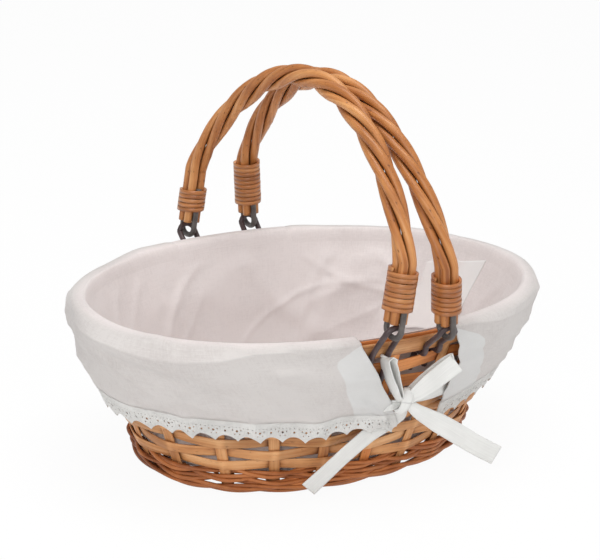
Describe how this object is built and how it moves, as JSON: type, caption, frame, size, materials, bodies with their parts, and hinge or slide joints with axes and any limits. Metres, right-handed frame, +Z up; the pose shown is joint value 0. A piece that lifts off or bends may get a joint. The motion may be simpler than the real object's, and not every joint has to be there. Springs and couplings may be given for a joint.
{
  "type": "oval basket",
  "caption": "Oval willow basket with a flaring woven wall, a cloth liner folded over the rim with a lace hem, ribbon bows, and two twisted handles that swing outwards.",
  "frame": {"origin": "on the table under the middle of the basket", "axes": "+X along the long axis, -Y towards the front with the open bow, +Z up"},
  "size_m": [0.3789, 0.2836, 0.288],
  "materials": {
    "willow": "satin honey-brown willow",
    "handle_willow": "varnished willow",
    "cane": "glossy split cane",
    "loop_plastic": "dark grey-brown tube",
    "cotton": "off-white cotton",
    "lace": "off-white cotton lace",
    "label_cloth": "woven label cloth, blank",
    "ribbon": "matt white ribbon"
  },
  "bodies": {
    "basket": {"foot_rod": "willow", "base_rod_1": "willow", "base_rod_2": "willow", "wall_rod_1": "willow", "wall_rod_2": "willow", "wall_rod_3": "willow", "wall_rod_4": "willow", "cross_slat_1": "willow", "cross_slat_2": "willow", "cross_slat_3": "willow", "cross_slat_4": "willow", "cross_slat_5": "willow", "cross_slat_6": "willow", "cross_slat_7": "willow", "long_slat_1": "willow", "long_slat_2": "willow", "long_slat_3": "willow", "weaver_row_1": "willow", "weaver_row_2": "willow", "weaver_row_3": "willow", "weaver_row_4": "willow", "weaver_row_5": "willow", "weaver_row_6": "willow", "weaver_row_7": "willow", "weaver_row_8": "willow", "border_hoop_outer": "willow", "border_hoop_inner": "willow", "left_front_basket_loop": "loop_plastic", "left_back_basket_loop": "loop_plastic", "right_front_basket_loop": "loop_plastic", "right_back_basket_loop": "loop_plastic", "liner_bag": "cotton", "liner_skirt_left": "cotton", "liner_skirt_right": "cotton", "lace_trim_left": "lace", "lace_trim_right": "lace", "liner_label": "label_cloth", "front_bow": "ribbon", "back_bow": "ribbon"},
    "left_handle": {"left_handle_rod_1": "handle_willow", "left_handle_rod_2": "handle_willow", "left_handle_rod_3": "handle_willow", "left_handle_rod_4": "handle_willow", "left_front_stirrup": "loop_plastic", "left_front_binding": "cane", "left_back_stirrup": "loop_plastic", "left_back_binding": "cane"},
    "right_handle": {"right_handle_rod_1": "handle_willow", "right_handle_rod_2": "handle_willow", "right_handle_rod_3": "handle_willow", "right_handle_rod_4": "handle_willow", "right_front_stirrup": "loop_plastic", "right_front_binding": "cane", "right_back_stirrup": "loop_plastic", "right_back_binding": "cane"}
  },
  "joints": [
    {"name": "left_handle_swing", "type": "hinge", "parent": "basket", "child": "left_handle", "pos_m": [-0.02475, 0, 0.132], "axis": [0.0559, -0.998, 0.0308], "range_deg": [0, 93]},
    {"name": "right_handle_swing", "type": "hinge", "parent": "basket", "child": "right_handle", "pos_m": [0.02575, 0, 0.12925], "axis": [-0.0174, 0.9998, -0.0019], "range_deg": [0, 93]}
  ]
}
